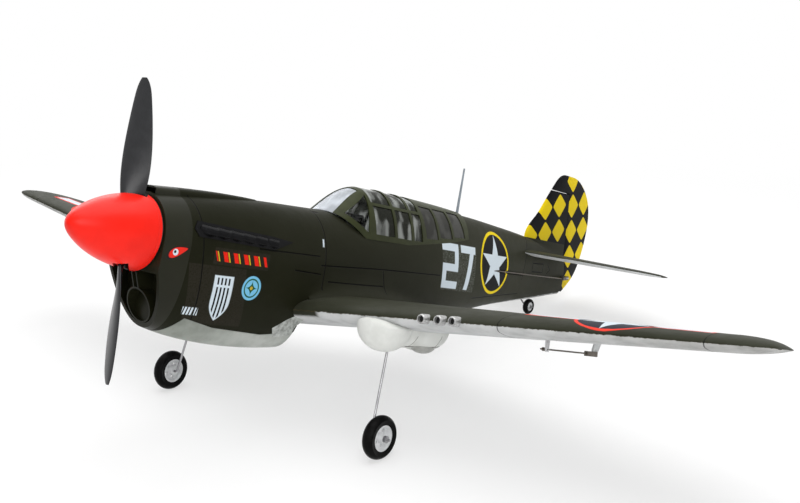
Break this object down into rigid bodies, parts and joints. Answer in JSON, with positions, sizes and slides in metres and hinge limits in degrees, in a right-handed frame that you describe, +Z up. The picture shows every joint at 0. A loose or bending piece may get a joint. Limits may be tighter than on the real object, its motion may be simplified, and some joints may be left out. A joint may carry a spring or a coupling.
{
  "type": "radio-controlled warbird plane",
  "caption": "Foam electric fighter-style tail-dragger with turning propeller, hinged control surfaces and linkages, rolling wheels and lift-off battery hatch.",
  "frame": {"origin": "on the floor under the middle of the bounding box, the plane standing on its three wheels", "axes": "+X out along the left wing, +Y towards the tail, +Z up; the nose points along -Y"},
  "size_m": [0.9796, 0.8428, 0.3511],
  "materials": {
    "foam_olive": "painted moulded foam, dark olive above, light grey below",
    "foam_grey": "moulded foam, light grey",
    "cowl_plastic": "vacuum-formed plastic, satin dark olive",
    "exhaust_black": "gloss black moulded plastic",
    "spinner_red": "satin red-orange moulded plastic",
    "propeller_black": "satin black moulded nylon",
    "canopy_olive": "semi-gloss olive paint on plastic",
    "canopy_clear": "clear formed plastic",
    "cockpit_black": "matt black plastic",
    "steel": "bright spring-steel wire",
    "steel_rod": "steel rod with moulded clevis",
    "tyre_black": "black foam rubber",
    "hub_white": "white moulded nylon",
    "nylon_white": "white nylon",
    "servo_case": "moulded servo case",
    "motor_metal": "anodised motor can",
    "plywood": "birch plywood",
    "battery_wrap": "shrink-wrapped battery pack",
    "strap_webbing": "woven strap",
    "radio_case": "moulded electronics case",
    "gun_metal": "bright stub barrels",
    "mast_grey": "pale grey plastic mast"
  },
  "bodies": {
    "airframe": {"aileron_servo_left": "servo_case", "aileron_servo_right": "servo_case", "antenna_mast": "mast_grey", "axle_collars": "steel", "battery": "battery_wrap", "battery_strap": "strap_webbing", "canopy_frame": "canopy_olive", "canopy_glazing": "canopy_clear", "cockpit_tray": "cockpit_black", "elevator_servo": "servo_case", "exhaust_left": "exhaust_black", "exhaust_right": "exhaust_black", "fuselage": "foam_olive", "gear_fairing_left": "foam_grey", "gear_fairing_right": "foam_grey", "gear_strut_left": "steel", "gear_strut_right": "steel", "gun_barrels": "gun_metal", "instrument_hood": "cockpit_black", "motor": "motor_metal", "motor_mount": "plywood", "nose_cowl": "cowl_plastic", "pilot_seat": "cockpit_black", "receiver": "radio_case", "rudder_servo": "servo_case", "speed_controller": "radio_case", "stabilizer": "foam_olive", "tail_gear_wire": "steel", "wing": "foam_olive", "wing_screws": "nylon_white"},
    "propeller": {"propeller": "propeller_black", "prop_shaft": "steel", "spinner": "spinner_red", "spinner_backplate": "propeller_black", "prop_nut": "steel"},
    "hatch": {"battery_hatch": "foam_grey"},
    "aileron_left": {"aileron_left": "foam_olive", "aileron_horn_left": "nylon_white"},
    "aileron_right": {"aileron_right": "foam_olive", "aileron_horn_right": "nylon_white"},
    "aileron_rod_left": {"aileron_pushrod_left": "steel_rod"},
    "aileron_rod_right": {"aileron_pushrod_right": "steel_rod"},
    "aileron_arm_left": {"aileron_servo_arm_left": "nylon_white"},
    "aileron_arm_right": {"aileron_servo_arm_right": "nylon_white"},
    "elevator": {"elevator_left": "foam_olive", "elevator_right": "foam_olive", "elevator_joiner": "steel", "elevator_horn": "nylon_white"},
    "elevator_rod": {"elevator_pushrod": "steel_rod"},
    "elevator_arm": {"elevator_servo_arm": "nylon_white"},
    "rudder": {"rudder": "foam_olive", "rudder_horn": "nylon_white"},
    "rudder_rod": {"rudder_pushrod": "steel_rod"},
    "rudder_arm": {"rudder_servo_arm": "nylon_white"},
    "wheel_left": {"tyre_left": "tyre_black", "wheel_hub_left": "hub_white"},
    "wheel_right": {"tyre_right": "tyre_black", "wheel_hub_right": "hub_white"},
    "tail_wheel": {"tail_tyre": "tyre_black", "tail_wheel_hub": "hub_white"}
  },
  "joints": [
    {"name": "propeller_spin", "type": "hinge", "parent": "airframe", "child": "propeller", "pos_m": [0, -0.36197, 0.22443], "axis": [0, 0.9585, -0.285], "continuous": true},
    {"name": "hatch_lift_off", "type": "slide", "parent": "airframe", "child": "hatch", "axis": [0, -0.285, -0.9585], "range_m": [0, 0.06]},
    {"name": "aileron_left_hinge", "type": "hinge", "parent": "airframe", "child": "aileron_left", "pos_m": [0.285, -0.05242, 0.11304], "axis": [0.9807, -0.1147, 0.1585], "range_deg": [-20, 20]},
    {"name": "aileron_right_hinge", "type": "hinge", "parent": "airframe", "child": "aileron_right", "pos_m": [-0.285, -0.05242, 0.11304], "axis": [0.9807, 0.1147, -0.1585], "range_deg": [-20, 20]},
    {"name": "aileron_arm_left_turn", "type": "hinge", "parent": "airframe", "child": "aileron_arm_left", "pos_m": [0.2736, -0.12154, 0.13359], "axis": [0.9807, -0.1147, 0.1585], "range_deg": [-20, 20]},
    {"name": "aileron_arm_right_turn", "type": "hinge", "parent": "airframe", "child": "aileron_arm_right", "pos_m": [-0.2736, -0.12154, 0.13359], "axis": [0.9807, 0.1147, -0.1585], "range_deg": [-20, 20]},
    {"name": "aileron_rod_left_pin", "type": "hinge", "parent": "aileron_left", "child": "aileron_rod_left", "pos_m": [0.2873, -0.05829, 0.09459], "axis": [0.9807, -0.1147, 0.1585], "range_deg": [-20, 20]},
    {"name": "aileron_rod_right_pin", "type": "hinge", "parent": "aileron_right", "child": "aileron_rod_right", "pos_m": [-0.2873, -0.05829, 0.09459], "axis": [0.9807, 0.1147, -0.1585], "range_deg": [-20, 20]},
    {"name": "elevator_hinge", "type": "hinge", "parent": "airframe", "child": "elevator", "pos_m": [0, 0.31238, 0.07139], "axis": [1, 0, 0], "range_deg": [-20, 20]},
    {"name": "elevator_arm_turn", "type": "hinge", "parent": "airframe", "child": "elevator_arm", "pos_m": [-0.034, 0.00648, 0.1373], "axis": [1, 0, 0], "range_deg": [-20, 20]},
    {"name": "elevator_rod_pin", "type": "hinge", "parent": "elevator", "child": "elevator_rod", "pos_m": [-0.015, 0.30839, 0.05797], "axis": [1, 0, 0], "range_deg": [-20, 20]},
    {"name": "rudder_hinge", "type": "hinge", "parent": "airframe", "child": "rudder", "pos_m": [0, 0.35248, 0.03391], "axis": [0, 0.1342, 0.991], "range_deg": [-25, 25]},
    {"name": "rudder_arm_turn", "type": "hinge", "parent": "airframe", "child": "rudder_arm", "pos_m": [0.0263, 0.00527, 0.12932], "axis": [0, 0.1342, 0.991], "range_deg": [-25, 25]},
    {"name": "rudder_rod_pin", "type": "hinge", "parent": "rudder", "child": "rudder_rod", "pos_m": [0.01, 0.35248, 0.03391], "axis": [0, 0.1342, 0.991], "range_deg": [-25, 25]},
    {"name": "wheel_left_roll", "type": "hinge", "parent": "airframe", "child": "wheel_left", "pos_m": [0.1465, -0.20027, 0.0209], "axis": [1, 0, 0], "continuous": true},
    {"name": "wheel_right_roll", "type": "hinge", "parent": "airframe", "child": "wheel_right", "pos_m": [-0.1465, -0.20027, 0.0209], "axis": [1, 0, 0], "continuous": true},
    {"name": "tail_wheel_roll", "type": "hinge", "parent": "airframe", "child": "tail_wheel", "pos_m": [0, 0.27639, 0.01], "axis": [1, 0, 0], "continuous": true}
  ],
  "couplings": [
    {"joint": "aileron_right_hinge", "follows": "aileron_left_hinge", "ratio": -1},
    {"joint": "aileron_arm_left_turn", "follows": "aileron_left_hinge", "ratio": 1},
    {"joint": "aileron_arm_right_turn", "follows": "aileron_left_hinge", "ratio": -1},
    {"joint": "aileron_rod_left_pin", "follows": "aileron_left_hinge", "ratio": -1},
    {"joint": "aileron_rod_right_pin", "follows": "aileron_left_hinge", "ratio": 1},
    {"joint": "elevator_arm_turn", "follows": "elevator_hinge", "ratio": 1},
    {"joint": "elevator_rod_pin", "follows": "elevator_hinge", "ratio": -1},
    {"joint": "rudder_arm_turn", "follows": "rudder_hinge", "ratio": 1},
    {"joint": "rudder_rod_pin", "follows": "rudder_hinge", "ratio": -1}
  ]
}
